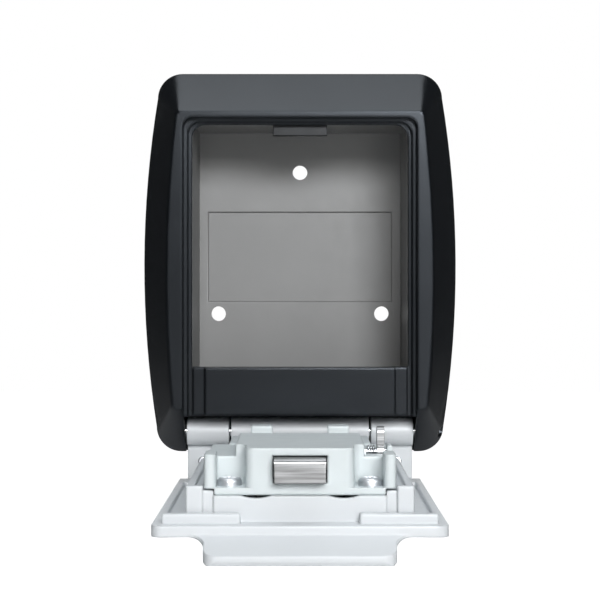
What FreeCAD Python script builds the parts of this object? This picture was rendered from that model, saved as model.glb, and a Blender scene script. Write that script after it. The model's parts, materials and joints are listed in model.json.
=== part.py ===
"""Wall key safe with a bottom-hinged combination door, drawn with the door folded down.

Millimetres. X to the right, Z up, Y into the wall. The origin is the middle of the back face, on the
wall. The door's own directions, used in the names below, are reach (away from the hinge along the
door, which is -Y while the door is down) and rise (towards the inside of the safe, +Z while it is down).
"""
import FreeCAD, Part
import Sketcher
import math
import os
import re

SIZES = {
    # how far cuts run past a face, how far joined blocks sink into each other, and a through cut
    "past": 1.0,
    "lap": 0.2,
    "through": 10.0,
    # jacket
    "body_depth": 46.0,
    "crease_depth": 30.0,
    "body_half_width": 50.3,
    "body_top": 59.9,
    "body_bottom": 62.0,
    "side_bow": 4.4,
    "side_bow_foot": 4.0,
    "body_corner": 8.0,
    "front_half_width": 42.3,
    "front_bow": 2.9,
    "front_bow_foot": 1.8,
    "front_top": 46.8,
    "front_foot": 47.8,
    "front_corner": 1.8,
    "edge_break": 0.6,
    "jacket_wall": 3.0,
    "seat_gap": 0.3,
    "fit_gap": 0.2,
    # opening in the front frame
    "opening_half_width": 34.1,
    "opening_top": 42.4,
    "opening_corner": 4.0,
    "rabbet_half_width": 36.8,
    "rabbet_top": 44.3,
    "rabbet_depth": 3.0,
    "rabbet_corner": 3.2,
    "step_half_width": 35.4,
    "step_top": 43.2,
    "step_depth": 1.6,
    "frame_depth": 6.3,
    # inner case
    "case_wall": 2.4,
    "case_back": 3.0,
    "case_bottom": 47.5,
    "case_round": 3.0,
    "case_rise": 0.8,
    "case_flange": 2.0,
    "flange_half_width": 43.6,
    "flange_reach_up": 54.8,
    "flange_reach_down": 57.3,
    "recess_half_width": 31.0,
    "recess_top": 16.3,
    "recess_bottom": 13.8,
    "recess_depth": 0.8,
    "wall_hole_circle": 64.0,
    "wall_hole_height": -2.1,
    "wall_hole_bore": 5.0,
    "screw_across": 39.6,
    "screw_up": 49.0,
    "screw_down": 52.0,
    "screw_bore": 3.0,
    "screw_head": 5.6,
    "screw_length": 14.0,
    "boss_bore": 7.6,
    # sill and strike
    "sill_top": 34.1,
    "sill_bottom": 49.3,
    "sill_base": 1.7,
    "sill_web": 2.1,
    "sill_panel_half": 29.9,
    "sill_panel_rise": 1.5,
    "strike_half_width": 8.6,
    "strike_drop": 4.1,
    "strike_thick": 3.2,
    # hinge
    "hinge_in": 31.0,
    "hinge_down": 55.35,
    "ear_inner": 36.75,
    "ear_gap_top": 49.8,
    "knuckle_bore": 9.0,
    "pin_bore": 3.2,
    "pin_left": 41.5,
    "pin_right": 44.5,
    "knuckle_slot": 0.7,
    "knuckle_slot_at": 22.4,
    "run_gap": 0.05,
    "wall_half_width": 36.2,
    "wall_rear": 4.5,
    "wall_thick": 3.6,
    # door shell
    "flange_thick": 3.0,
    "door_half_width": 38.9,
    "door_reach": 101.0,
    "door_corner": 3.0,
    "tub_start": 26.2,
    "tub_end": 94.0,
    "tub_half_width": 30.1,
    "tub_wall": 2.0,
    "tub_drop": 5.8,
    "rail_inner": 22.9,
    "rail_outer": 25.8,
    "ledge_inner": 20.9,
    "rail_drop": 7.1,
    "bed_drop": 8.4,
    "rib_inner": 15.7,
    "rib_outer": 36.3,
    "rib_reach": 94.6,
    "rib_wide": 2.8,
    "rib_rise": 2.6,
    "rim_wide": 2.4,
    "rim_start": 9.0,
    "rim_pocket": 1.4,
    "rail_set_back": 0.9,
    "shelf_drop": 7.1,
    "shelf_thick": 1.4,
    "notch_at": 11.6,
    "notch_wide": 8.3,
    "notch_drop": 0.7,
    "tab_half_width": 24.9,
    "tab_out": 10.0,
    "tab_fall": 3.8,
    "tab_thick": 2.8,
    "tab_corner": 4.0,
    "tab_root": 4.0,
    "tab_root_thick": 1.8,
    "tab_lap": 0.6,
    "tab_chamfer": 1.0,
    # mechanism cover
    "cover_start": 28.5,
    "cover_end": 93.0,
    "cover_base": 2.0,
    "cover_skin": 1.8,
    "front_half": 20.6,
    "front_rise": 1.2,
    "front_end": 51.0,
    "plateau_half": 17.5,
    "plateau_rise": 4.1,
    "ledge_start": 83.0,
    "block_half": 14.4,
    "shoulder_rise": 0.9,
    "column_rise": 2.4,
    "column_round": 1.3,
    "block_round": 2.2,
    "ledge_outer": 22.4,
    "lug_inner": 8.3,
    "lug_outer": 14.8,
    "lug_start": 29.0,
    "lug_end": 35.0,
    "lug_rise": 4.7,
    # latch
    "latch_half": 6.9,
    "latch_low": 4.85,
    "latch_high": 1.75,
    "latch_tip": 97.6,
    "latch_tail": 77.0,
    "latch_gap": 0.3,
    "latch_travel": 5.0,
    "latch_nose": 1.4,
    "spring_back": 62.0,
    "spring_bore": 4.4,
    "spring_wire": 0.7,
    "spring_turns": 6.0,
    "spring_wall_lap": 0.5,
    # lock plate and release
    "fence_low": 10.0,
    "fence_thick": 1.2,
    "fence_start": 56.5,
    "fence_half": 11.8,
    "fence_tip": 48.2,
    "plate_end": 84.0,
    "fence_finger": 1.4,
    "stem_half": 3.0,
    "stem_start": 69.0,
    "stem_end": 73.0,
    "thumb_half": 9.0,
    "thumb_start": 62.5,
    "thumb_end": 77.0,
    "thumb_thick": 3.2,
    "thumb_groove": 1.6,
    "thumb_margin": 3.0,
    "stem_gap": 0.4,
    "stem_over": 1.0,
    "wing_reach": 2.5,
    "wing_thick": 1.0,
    "bolt_tab_half": 4.9,
    "bolt_tab_in": 1.0,
    "bolt_tab_thick": 2.0,
    # dials
    "dial_at": 38.8,
    "dial_drop": 10.4,
    "dial_radius": 8.2,
    "dial_wide": 7.0,
    "dial_pitch": 9.5,
    "dial_window": 7.6,
    "window_length": 14.0,
    "dish_half": 21.5,
    "dish_length": 20.0,
    "dish_depth": 1.2,
    "sleeve_radius": 4.0,
    "sleeve_lip": 0.5,
    "axle_radius": 1.5,
    "axle_half": 23.9,
    "groove_radius": 1.2,
    # detent spring
    "leaf_thick": 0.4,
    "leaf_start": 50.8,
    "leaf_end": 57.5,
    "leaf_rise": 4.6,
    "nib_dip": 0.1,
    "leaf_finger": 3.0,
    "leaf_screw_at": 54.6,
    # lever
    "lever_at": 22.3,
    "lever_thick": 2.1,
    "lever_reach": 72.0,
    "lever_top": 8.0,
    "lever_rise": 1.0,
    "lever_pin_start": 15.5,
    "lever_pin_length": 9.7,
    "lever_turns": 3.0,
    "lever_half": 2.0,
    "lever_foot_rim": 0.6,
    "lever_cheek": 1.0,
    "lever_pivot_bore": 1.6,
    "pocket_inner": 18.3,
    "pocket_outer": 24.0,
    "pocket_half": 5.0,
    "pocket_floor": 2.2,
    "lever_coil": 2.9,
    "lever_wire": 0.55,
    # fasteners on the door
    "cover_screw_at": 18.9,
    "cover_screw_reach": 87.6,
    "cover_screw_head": 6.6,
    "cover_screw_rise": 2.2,
    "cover_screw_bore": 2.8,
    "post_bore": 6.4,
    "side_screw_at": 31.4,
    "side_screw_drop": 9.7,
    "side_screw_head": 2.9,
    "side_screw_bore": 1.6,
    "screw_skin": 0.6,
    "post_skin": 0.5,
    "drive_half": 0.45,
    "slot_depth": 0.8,
    "slot_half": 0.4,
    # shutter on the door's outer face
    "shutter_half": 24.0,
    "shutter_end": 54.4,
    "shutter_travel": 25.0,
    "shutter_thick": 1.5,
    "shutter_lift": 0.6,
    "rail_guide": 2.0,
    "rail_lip": 1.6,
    "rail_end": 56.5,
    "grip_edge": 2.5,
    "grip_pitch": 2.4,
    "grip_half": 0.6,
    "grip_rise": 0.8,
}

DERIVED = {
    "hinge_y": "0 - hinge_in",
    "hinge_z": "0 - hinge_down",
    "front_y": "0 - body_depth",
    "case_half": "opening_half_width + case_wall",
    "case_top": "opening_top + case_wall + case_rise",
    "case_front": "body_depth - frame_depth - fit_gap",
    "sill_back": "front_y + frame_depth - sill_web",
    # heights in the door, measured up from the hinge axis
    "inner_face": "hinge_z - (body_depth - hinge_in) - seat_gap",
    "outer_face": "inner_face - flange_thick",
    "tab_reach": "door_reach + tab_out",
    "shutter_start": "shutter_travel + 2 * fit_gap",
    "bed_z": "hinge_z - bed_drop",
    "dial_z": "hinge_z - dial_drop",
    "dial_y": "hinge_y - dial_at",
    "base_top": "bed_z + cover_base",
    "latch_bottom": "hinge_z - latch_low",
    "fence_bottom": "hinge_z - fence_low",
    "shutter_top": "outer_face - shutter_lift",
    "rail_bottom": "shutter_top - shutter_thick - seat_gap - rail_lip / 2",
}

DOC = FreeCAD.newDocument("key_safe")
SHEET = DOC.addObject("Spreadsheet::Sheet", "Sizes")
WORD = re.compile(r"[a-z_]+[a-z]")


def fill_sheet():
    """One row for each driving size: its name, its value and the alias that expressions use."""
    for row, (name, value) in enumerate(SIZES.items(), start=1):
        SHEET.set(f"A{row}", name)
        SHEET.set(f"B{row}", str(value))
        SHEET.setAlias(f"B{row}", name)
    DOC.recompute()


def spell(text):
    """A formula in plain size names, spelled out as an expression on the sheet."""
    def swap(found):
        word = found.group(0)
        if word in DERIVED:
            return f"({spell(DERIVED[word])})"
        return f"Sizes.{word}" if word in SIZES else word
    return WORD.sub(swap, str(text))


def size(text):
    """The number that a formula in size names gives, for shapes made by Part's own functions."""
    return float(SHEET.evalExpression(spell(text)))


def bind(item, **formulas):
    """Ties properties of an object to formulas. Place_x, place_y and place_z set its position."""
    for name, text in formulas.items():
        path = f"Placement.Base.{name[-1]}" if name.startswith("place_") else name
        item.setExpression(path, spell(text))
    return item


def label(item, name):
    item.Label = name
    return item


# bodies built from sketches and blocks

def body(name):
    return label(DOC.addObject("PartDesign::Body", name), name)


def plane(owner, role):
    return next(p for p in owner.Origin.OriginFeatures if p.Role == role)


def outline(owner, name, role, lift, left, right, low, high):
    """A rectangle sketch whose four sides are tied to the sheet."""
    sketch = owner.newObject("Sketcher::SketchObject", name)
    sketch.AttachmentSupport = [(plane(owner, role), "")]
    sketch.MapMode = "FlatFace"
    sketch.setExpression("AttachmentOffset.Base.z", spell(lift))
    x0, x1, y0, y1 = (size(v) for v in (left, right, low, high))
    corners = [FreeCAD.Vector(x0, y0), FreeCAD.Vector(x1, y0), FreeCAD.Vector(x1, y1), FreeCAD.Vector(x0, y1)]
    for index in range(4):
        sketch.addGeometry(Part.LineSegment(corners[index], corners[(index + 1) % 4]), False)
    for index in range(4):
        sketch.addConstraint(Sketcher.Constraint("Coincident", index, 2, (index + 1) % 4, 1))
    for line, kind in ((0, "Horizontal"), (1, "Vertical"), (2, "Horizontal"), (3, "Vertical")):
        sketch.addConstraint(Sketcher.Constraint(kind, line))
    for kind, point, number, text in (
        ("DistanceX", (0, 1), x0, left),
        ("DistanceY", (0, 1), y0, low),
        ("DistanceX", (2, 1), x1, right),
        ("DistanceY", (2, 1), y1, high),
    ):
        index = sketch.addConstraint(Sketcher.Constraint(kind, -1, 1, *point, number))
        sketch.setExpression(f"Constraints[{index}]", spell(text))
    return sketch


def pad(owner, name, sketch, length, back=False):
    made = owner.newObject("PartDesign::Pad", name)
    made.Profile = sketch
    made.Reversed = back
    made.setExpression("Length", spell(length))
    return made


def pocket(owner, name, sketch, length, back=False):
    made = owner.newObject("PartDesign::Pocket", name)
    made.Profile = sketch
    made.Reversed = back
    made.setExpression("Length", spell(length))
    return made


def block(owner, name, spans, cut=False):
    """A box feature from three (low, high) spans in X, Y and Z."""
    kind = "SubtractiveBox" if cut else "AdditiveBox"
    made = owner.newObject(f"PartDesign::{kind}", name)
    for side, at, (low, high) in zip(("Length", "Width", "Height"), "xyz", spans):
        made.setExpression(side, spell(f"({high}) - ({low})"))
        made.setExpression(f"Placement.Base.{at}", spell(low))
    return made


def rod(owner, name, axis, start, length, radius, cut=False):
    """A cylinder feature from a start point along +X, -Y or +Z."""
    kind = "SubtractiveCylinder" if cut else "AdditiveCylinder"
    made = owner.newObject(f"PartDesign::{kind}", name)
    made.Placement.Rotation = turn(axis)
    made.setExpression("Radius", spell(radius))
    made.setExpression("Height", spell(length))
    for at, text in zip("xyz", start):
        made.setExpression(f"Placement.Base.{at}", spell(text))
    return made


def turn(axis):
    """Rotation that lays a cylinder's own Z along the wanted direction."""
    to = {"X": FreeCAD.Vector(1, 0, 0), "-Y": FreeCAD.Vector(0, -1, 0), "Z": FreeCAD.Vector(0, 0, 1)}
    return FreeCAD.Rotation(FreeCAD.Vector(0, 0, 1), to[axis])


def round_edges(owner, name, radius, wanted):
    """Fillets the edges of the body's last feature for which wanted(edge) holds."""
    DOC.recompute()
    last = owner.Tip
    edges = [f"Edge{i}" for i, edge in enumerate(last.Shape.Edges, start=1) if wanted(edge)]
    made = owner.newObject("PartDesign::Fillet", name)
    made.Base = (last, edges)
    made.setExpression("Radius", spell(radius))
    return made


def round_uprights(owner, name, radius, half, along):
    """Fillets the pair of upright edges that stand at half to either side, at one place along Y."""
    side, level = size(half), size(along)
    round_edges(owner, name, radius,
                lambda edge: runs(edge, 2) and abs(abs(edge.CenterOfMass.x) - side) < 0.01 and near(edge, 1, level))


def runs(edge, axis):
    """True for a straight edge along the given axis, 0 for X, 1 for Y and 2 for Z."""
    first, last = edge.Vertexes[0].Point, edge.Vertexes[-1].Point
    gap = last - first
    return abs(abs(gap[axis]) - gap.Length) < 1e-6 and gap.Length > 1e-6


def near(edge, axis, number):
    return abs(edge.CenterOfMass[axis] - number) < 0.01


def span(middle, half):
    return (f"{middle} - ({half})", f"{middle} + ({half})")


def reach(low, high):
    """A span of the door's reach as a span in Y."""
    return (f"hinge_y - ({high})", f"hinge_y - ({low})")


# loose solids made by Part's own functions

def solid(name, shape):
    made = DOC.addObject("Part::Feature", name)
    made.Shape = shape
    return label(made, name)


def box(spans):
    (x0, x1), (y0, y1), (z0, z1) = [(size(a), size(b)) for a, b in spans]
    return Part.makeBox(x1 - x0, y1 - y0, z1 - z0, FreeCAD.Vector(x0, y0, z0))


def cylinder(axis, start, length, radius):
    along = turn(axis).multVec(FreeCAD.Vector(0, 0, 1))
    return Part.makeCylinder(size(radius), size(length), FreeCAD.Vector(*[size(v) for v in start]), along)


def coil(start, along, bore, wire, length, turns):
    """A round-wire helix between two flat ends."""
    pitch = length / turns
    path = Part.makeHelix(pitch, length, bore / 2)
    ring = Part.Wire(Part.makeCircle(wire / 2, FreeCAD.Vector(bore / 2, 0, 0), FreeCAD.Vector(0, 1, 0)))
    made = Part.Wire(path.Edges).makePipeShell([ring], True, True)
    made.Placement = FreeCAD.Placement(start, FreeCAD.Rotation(FreeCAD.Vector(0, 0, 1), along))
    return made


# jacket, case and what is fixed to them

def bowed(depth, half, bows, top, bottom, corner):
    """Closed outline in the wall's plane: straight top and foot, bowed sides, round corners."""
    side = {1: half - bows[0], -1: half - bows[1]}
    middle = (top - bottom) / 2
    slack = corner * (1 - math.sqrt(0.5))

    def at(x, z):
        return FreeCAD.Vector(x, -depth, z)

    def bend(sign_x, sign_z, level):
        x, z = sign_x * side[sign_z], level
        points = [at(x, z - sign_z * corner), at(x - sign_x * slack, z - sign_z * slack), at(x - sign_x * corner, z)]
        return points if sign_x * sign_z > 0 else points[::-1]

    right_top, left_top = bend(1, 1, top), bend(-1, 1, top)
    left_foot, right_foot = bend(-1, -1, -bottom), bend(1, -1, -bottom)
    edges = [
        Part.Arc(right_foot[2], at(half, middle), right_top[0]),
        Part.Arc(*right_top),
        Part.LineSegment(right_top[2], left_top[0]),
        Part.Arc(*left_top),
        Part.Arc(left_top[2], at(-half, middle), left_foot[0]),
        Part.Arc(*left_foot),
        Part.LineSegment(left_foot[2], right_foot[0]),
        Part.Arc(*right_foot),
    ]
    return Part.Wire([edge.toShape() for edge in edges])


def side_bows():
    return size("side_bow"), size("side_bow_foot")


def front_bows():
    return size("front_bow"), size("front_bow_foot")


def jacket_form():
    """The jacket's outside: straight from the wall to the crease, then bevelled to the front frame."""
    half, bows, corner = size("body_half_width"), side_bows(), size("body_corner")
    top, bottom = size("body_top"), size("body_bottom")
    half_front, top_front, foot_front = size("front_half_width"), size("front_top"), size("front_foot")
    bows_front, corner_front = front_bows(), size("front_corner")
    eased = size("edge_break")
    sections = [
        bowed(0, half, bows, top, bottom, corner),
        bowed(size("crease_depth"), half, bows, top, bottom, corner),
        bowed(size("body_depth - edge_break"), half_front, bows_front, top_front, foot_front, corner_front),
        bowed(size("body_depth"), half_front - eased, bows_front, top_front - eased, foot_front - eased,
              corner_front),
    ]
    return Part.makeLoft(sections, True, True)


def jacket_hollow():
    """What is taken out of the jacket from behind, one wall thickness inside its outside."""
    wall, bows, corner = size("jacket_wall"), side_bows(), size("body_corner - jacket_wall")
    half, top = size("body_half_width - jacket_wall"), size("body_top - jacket_wall")
    floor = size("case_bottom + fit_gap")
    share = size("(body_depth - frame_depth - crease_depth) / (body_depth - crease_depth)")
    front_half = half - share * size("body_half_width - front_half_width") - 0.15 * wall
    front_top = top - share * size("body_top - front_top") - 0.2 * wall
    sections = [
        bowed(0, half, bows, top, floor, corner),
        bowed(size("crease_depth"), half, bows, top, floor, corner),
        bowed(size("body_depth - frame_depth"), front_half, front_bows(), front_top, floor, corner),
    ]
    return Part.makeLoft(sections, True, True)


def rounded_box(spans, corner):
    """A box whose four edges along Y are rounded."""
    made = box(spans)
    return made.makeFillet(size(corner), [edge for edge in made.Edges if runs(edge, 1)])


def screw_places():
    return [(side, up) for side in (-1, 1) for up in ("screw_up", "0 - screw_down")]


def make_jacket():
    outside = jacket_form()
    made = outside.cut(jacket_hollow())
    for side, up in screw_places():
        boss = cylinder("-Y", (f"{side} * screw_across", "0 - case_flange", up), "body_depth", "boss_bore / 2")
        made = made.fuse(boss.common(outside))
    cuts = [
        rounded_box([span(0, "opening_half_width"), ("front_y - past", "front_y + frame_depth + past"),
                     ("0 - sill_top", "opening_top")], "opening_corner"),
        box([span(0, "opening_half_width"), ("front_y - past", "front_y + frame_depth + past"),
             ("0 - sill_top", "opening_corner - sill_top")]),
        box([span(0, "opening_half_width"), ("front_y - past", "sill_back"), ("0 - ear_gap_top", "0 - sill_top")]),
        rounded_box([span(0, "rabbet_half_width"), ("front_y - past", "front_y + rabbet_depth"),
                     ("0 - body_bottom - past", "rabbet_top")], "rabbet_corner"),
        rounded_box([span(0, "step_half_width"), ("front_y - past", "front_y + rabbet_depth + step_depth"),
                     ("0 - body_bottom - past", "step_top")], "opening_corner"),
        box([span(0, "ear_inner"), ("front_y - past", "hinge_y + wall_rear + seat_gap"),
             ("0 - body_bottom - past", "0 - ear_gap_top")]),
        box([span(0, "flange_half_width + fit_gap"), ("0 - case_flange", "past"),
             ("0 - flange_reach_down - fit_gap", "flange_reach_up + fit_gap")]),
        box([span(0, "ear_inner - jacket_wall"), ("hinge_y + wall_rear + jacket_wall", "past"),
             ("jacket_wall - body_bottom", "0 - case_bottom - jacket_wall")]),
        cylinder("X", ("0 - pin_left", "hinge_y", "hinge_z"), "pin_left + body_half_width", "pin_bore / 2"),
    ]
    for side, up in screw_places():
        start = (f"{side} * screw_across", "past", up)
        cuts.append(cylinder("-Y", start, "screw_length + past", "screw_bore / 2"))
    for tool in cuts:
        made = made.cut(tool)
    return solid("jacket", made.removeSplitter())


def make_inner_case():
    made = body("inner_case")
    pad(made, "case_block", outline(made, "case_outline", "XZ_Plane", 0, "0 - case_half", "case_half",
                                    "0 - case_bottom", "case_top"), "case_front")
    round_edges(made, "case_corners", "case_round", lambda edge: runs(edge, 1))
    pad(made, "case_rim", outline(made, "rim_outline", "XZ_Plane", 0, "0 - flange_half_width", "flange_half_width",
                                  "0 - flange_reach_down", "flange_reach_up"), "case_flange")
    pocket(made, "key_space", outline(made, "key_outline", "XZ_Plane", "case_back", "0 - opening_half_width",
                                      "opening_half_width", "case_wall - case_bottom",
                                      "case_top - case_wall"), "case_front", back=True)
    pocket(made, "back_recess", outline(made, "recess_outline", "XZ_Plane", "case_back - recess_depth",
                                        "0 - recess_half_width", "recess_half_width", "0 - recess_bottom",
                                        "recess_top"), "case_back", back=True)
    for index in range(3):
        angle = f"{90 + 120 * index}"
        across = f"wall_hole_circle / 2 * {math.cos(math.radians(90 + 120 * index)):.6f}"
        up = f"wall_hole_height + wall_hole_circle / 2 * {math.sin(math.radians(90 + 120 * index)):.6f}"
        rod(made, f"wall_hole_{angle}", "-Y", (across, "past", up), "case_back + 2 * past", "wall_hole_bore / 2", cut=True)
    for index, (side, up) in enumerate(screw_places()):
        start = (f"{side} * screw_across", "past", up)
        rod(made, f"screw_hole_{index}", "-Y", start, "case_flange + 2 * past", "screw_bore / 2", cut=True)
        sink = made.newObject("PartDesign::SubtractiveCone", f"screw_sink_{index}")
        sink.Placement.Rotation = turn("-Y")
        bind(sink, Radius1="screw_head / 2", Radius2="screw_bore / 2", Height="(screw_head - screw_bore) / 2",
             place_x=start[0], place_y="0", place_z=up)
    return made


def make_jacket_screws():
    shapes = []
    for side, up in screw_places():
        start = (f"{side} * screw_across", "0", up)
        at = FreeCAD.Vector(*[size(v) for v in start])
        head = Part.makeCone(size("screw_head / 2"), size("screw_bore / 2"), size("(screw_head - screw_bore) / 2"),
                             at, FreeCAD.Vector(0, -1, 0))
        shank = cylinder("-Y", start, "screw_length", "screw_bore / 2")
        drive = box([span(start[0], "screw_bore / 2"), ("0 - slot_depth", "past"), span(up, "slot_half")])
        shapes.append(head.fuse(shank).cut(drive))
    return solid("jacket_screws", Part.makeCompound(shapes))


def make_sill_panel():
    made = body("sill_panel")
    pad(made, "sill_plate", outline(made, "plate_outline", "XZ_Plane", "0 - sill_back", "fit_gap - opening_half_width",
                                    "opening_half_width - fit_gap", "0 - sill_bottom", "0 - sill_top"), "sill_base")
    pad(made, "sill_raised", outline(made, "raised_outline", "XZ_Plane", "sill_base - sill_back",
                                     "0 - sill_panel_half", "sill_panel_half", "0 - sill_bottom", "0 - sill_top"),
        "sill_panel_rise")
    front = size("sill_back - sill_base - sill_panel_rise")
    round_edges(made, "sill_edges", "edge_break / 2", lambda edge: near(edge, 1, front))
    return made


def make_strike():
    made = body("strike_plate")
    back = "hinge_y - latch_low - latch_gap"
    block(made, "strike_block", [span(0, "strike_half_width"), (f"{back} - strike_thick", back),
                                 ("opening_top + case_rise - strike_drop", "opening_top + case_rise")])
    foot = size("opening_top + case_rise - strike_drop")
    round_edges(made, "strike_edges", "edge_break / 2", lambda edge: near(edge, 2, foot) and runs(edge, 0))
    return made


def make_hinge_pin():
    pin = DOC.addObject("Part::Cylinder", "hinge_pin")
    pin.Placement.Rotation = turn("X")
    bind(pin, Radius="pin_bore / 2", Height="pin_left + pin_right",
         place_x="0 - pin_left", place_y="hinge_y", place_z="hinge_z")
    return label(pin, "hinge_pin")


# door shell

def make_door_shell():
    made = body("door_shell")
    far = "hinge_y - door_reach"
    pad(made, "flange", outline(made, "flange_outline", "XY_Plane", "outer_face", "0 - door_half_width",
                                "door_half_width", far, "hinge_y"), "flange_thick")
    round_edges(made, "flange_corners", "door_corner", lambda edge: runs(edge, 2) and near(edge, 1, size(far)))
    block(made, "hinge_wall", [span(0, "wall_half_width"), ("hinge_y + wall_rear - wall_thick", "hinge_y + wall_rear"),
                               ("outer_face", "hinge_z")])
    block(made, "hinge_heel", [span(0, "wall_half_width"), ("hinge_y - past", "hinge_y + wall_rear"),
                               ("outer_face", "inner_face")])
    rod(made, "knuckles", "X", ("0 - wall_half_width", "hinge_y", "hinge_z"), "2 * wall_half_width",
        "knuckle_bore / 2")
    tub(made)
    for side in (-1, 1):
        block(made, f"rib_{side + 2}", [span(f"{side} * (rib_inner + rib_outer) / 2", "(rib_outer - rib_inner) / 2"),
                                        reach("rib_reach", "rib_reach + rib_wide"),
                                        ("inner_face - lap", "inner_face + rib_rise")])
        shutter_rail(made, side)
        rim_pocket(made, side)
    tab(made)
    door_cuts(made)
    return made


def tub(made):
    """Stepped walls that carry the mechanism: outer walls, rails with a ledge, and the two end walls."""
    floor = "inner_face - lap"
    along = reach("tub_start", "tub_end")
    top = "hinge_z - tub_drop"
    for side in (-1, 1):
        tag = "left" if side < 0 else "right"
        block(made, f"outer_wall_{tag}", [span(f"{side} * (tub_half_width - tub_wall / 2)", "tub_wall / 2"), along,
                                          (floor, top)])
        block(made, f"rail_{tag}", [span(f"{side} * (rail_inner + rail_outer) / 2", "(rail_outer - rail_inner) / 2"),
                                    reach("tub_start", "tub_end - rail_set_back"),
                                    (floor, "hinge_z - rail_drop")])
        block(made, f"ledge_{tag}", [span(f"{side} * (rail_inner + ledge_inner) / 2",
                                          "(rail_inner - ledge_inner) / 2 + lap / 2"), along, (floor, "bed_z")])
        block(made, f"end_corner_{tag}", [span(f"{side} * (tub_half_width + rail_outer) / 2",
                                               "(tub_half_width - rail_outer) / 2 + lap / 2"),
                                          reach("tub_end - tub_wall", "tub_end"), (floor, top)])
        block(made, f"shelf_{tag}", [span(f"{side} * (tub_half_width + rail_outer) / 2",
                                          "(tub_half_width - rail_outer) / 2 - lap"), along,
                                     ("hinge_z - shelf_drop - shelf_thick", "hinge_z - shelf_drop")])
        rod(made, f"post_{tag}", "Z", (f"{side} * cover_screw_at", "hinge_y - cover_screw_reach", floor),
            "bed_z - inner_face + lap", "post_bore / 2")
    block(made, "end_wall", [span(0, "rail_inner"), reach("tub_end - tub_wall", "tub_end"), (floor, "bed_z")])
    block(made, "near_wall", [span(0, "tub_half_width"), reach("tub_start", "tub_start + tub_wall"), (floor, top)])


def rim_pocket(made, side):
    """The sunk strip between the flange's rim and the outer wall."""
    inner, outer = "tub_half_width + seat_gap", "door_half_width - rim_wide"
    block(made, f"rim_pocket_{side + 2}", [span(f"{side} * ({inner} + {outer}) / 2", f"({outer} - ({inner})) / 2"),
                                           reach("rim_start", "rib_reach - seat_gap"),
                                           ("inner_face - rim_pocket", "inner_face + past")], cut=True)


def shutter_rail(made, side):
    tag = "left" if side < 0 else "right"
    inner = "shutter_half + seat_gap"
    block(made, f"guide_{tag}", [span(f"{side} * ({inner} + rail_guide / 2)", "rail_guide / 2"),
                                 reach("0", "rail_end"), ("rail_bottom", "outer_face + lap")])
    block(made, f"lip_{tag}", [span(f"{side} * ({inner} - rail_lip / 2 + lap / 2)", "rail_lip / 2 + lap / 2"),
                               reach("0", "rail_end"), ("rail_bottom", "rail_bottom + rail_lip / 2")])


def profile(made, name, corners, width):
    """A plate of the given width whose side view joins the (Y, Z) corners, each tied to the sheet."""
    sketch = made.newObject("Sketcher::SketchObject", f"{name}_profile")
    sketch.AttachmentSupport = [(plane(made, "YZ_Plane"), "")]
    sketch.MapMode = "FlatFace"
    points = [FreeCAD.Vector(size(y), size(z)) for y, z in corners]
    for index, point in enumerate(points):
        sketch.addGeometry(Part.LineSegment(point, points[(index + 1) % len(points)]), False)
    for index in range(len(points)):
        sketch.addConstraint(Sketcher.Constraint("Coincident", index, 2, (index + 1) % len(points), 1))
    for index, (across, up) in enumerate(corners):
        for kind, text in (("DistanceX", across), ("DistanceY", up)):
            tied = sketch.addConstraint(Sketcher.Constraint(kind, -1, 1, index, 1, size(text)))
            sketch.setExpression(f"Constraints[{tied}]", spell(text))
    plate = pad(made, name, sketch, width)
    plate.Midplane = True


def tab(made):
    """The finger tab: a thin plate that slopes outwards past the flange, with concave corners at its root."""
    top, low = "outer_face + tab_lap", "outer_face - tab_thick + tab_chamfer"
    inside = "hinge_y - door_reach + flange_thick"
    drop_top = "tab_fall * tab_root / tab_out"
    profile(made, "tab_root", [
        (inside, "outer_face + tab_chamfer"),
        (inside, "outer_face"),
        ("hinge_y - door_reach", "outer_face"),
        ("hinge_y - door_reach - tab_root", f"{top} - {drop_top} - tab_root_thick"),
        ("hinge_y - door_reach - tab_root", f"{top} - {drop_top}"),
        ("hinge_y - door_reach", top),
    ], "2 * (tab_half_width + tab_root)")
    for side in (-1, 1):
        rod(made, f"tab_root_round_{side + 2}", "Z",
            (f"{side} * (tab_half_width + tab_root)", "hinge_y - door_reach - tab_root", "outer_face - 2 * tab_thick"),
            "3 * tab_thick", "tab_root", cut=True)
    profile(made, "tab", [
        (inside, "outer_face + tab_chamfer"),
        (inside, "outer_face"),
        ("hinge_y - door_reach + tab_chamfer", low),
        ("hinge_y - tab_reach + tab_chamfer", "outer_face + tab_lap - tab_fall - tab_thick"),
        ("hinge_y - tab_reach", "outer_face + tab_lap - tab_fall - tab_thick / 2"),
        ("hinge_y - tab_reach", "outer_face + tab_lap - tab_fall"),
        ("hinge_y - door_reach", top),
    ], "2 * tab_half_width")
    end = size("hinge_y - tab_reach")
    side_face = size("tab_half_width")
    round_edges(made, "tab_corners", "tab_corner",
                lambda edge: edge.BoundBox.YMin < end + 1.5 and edge.BoundBox.YMax < end + 0.01
                and abs(abs(edge.CenterOfMass.x) - side_face) < 0.01)


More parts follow.
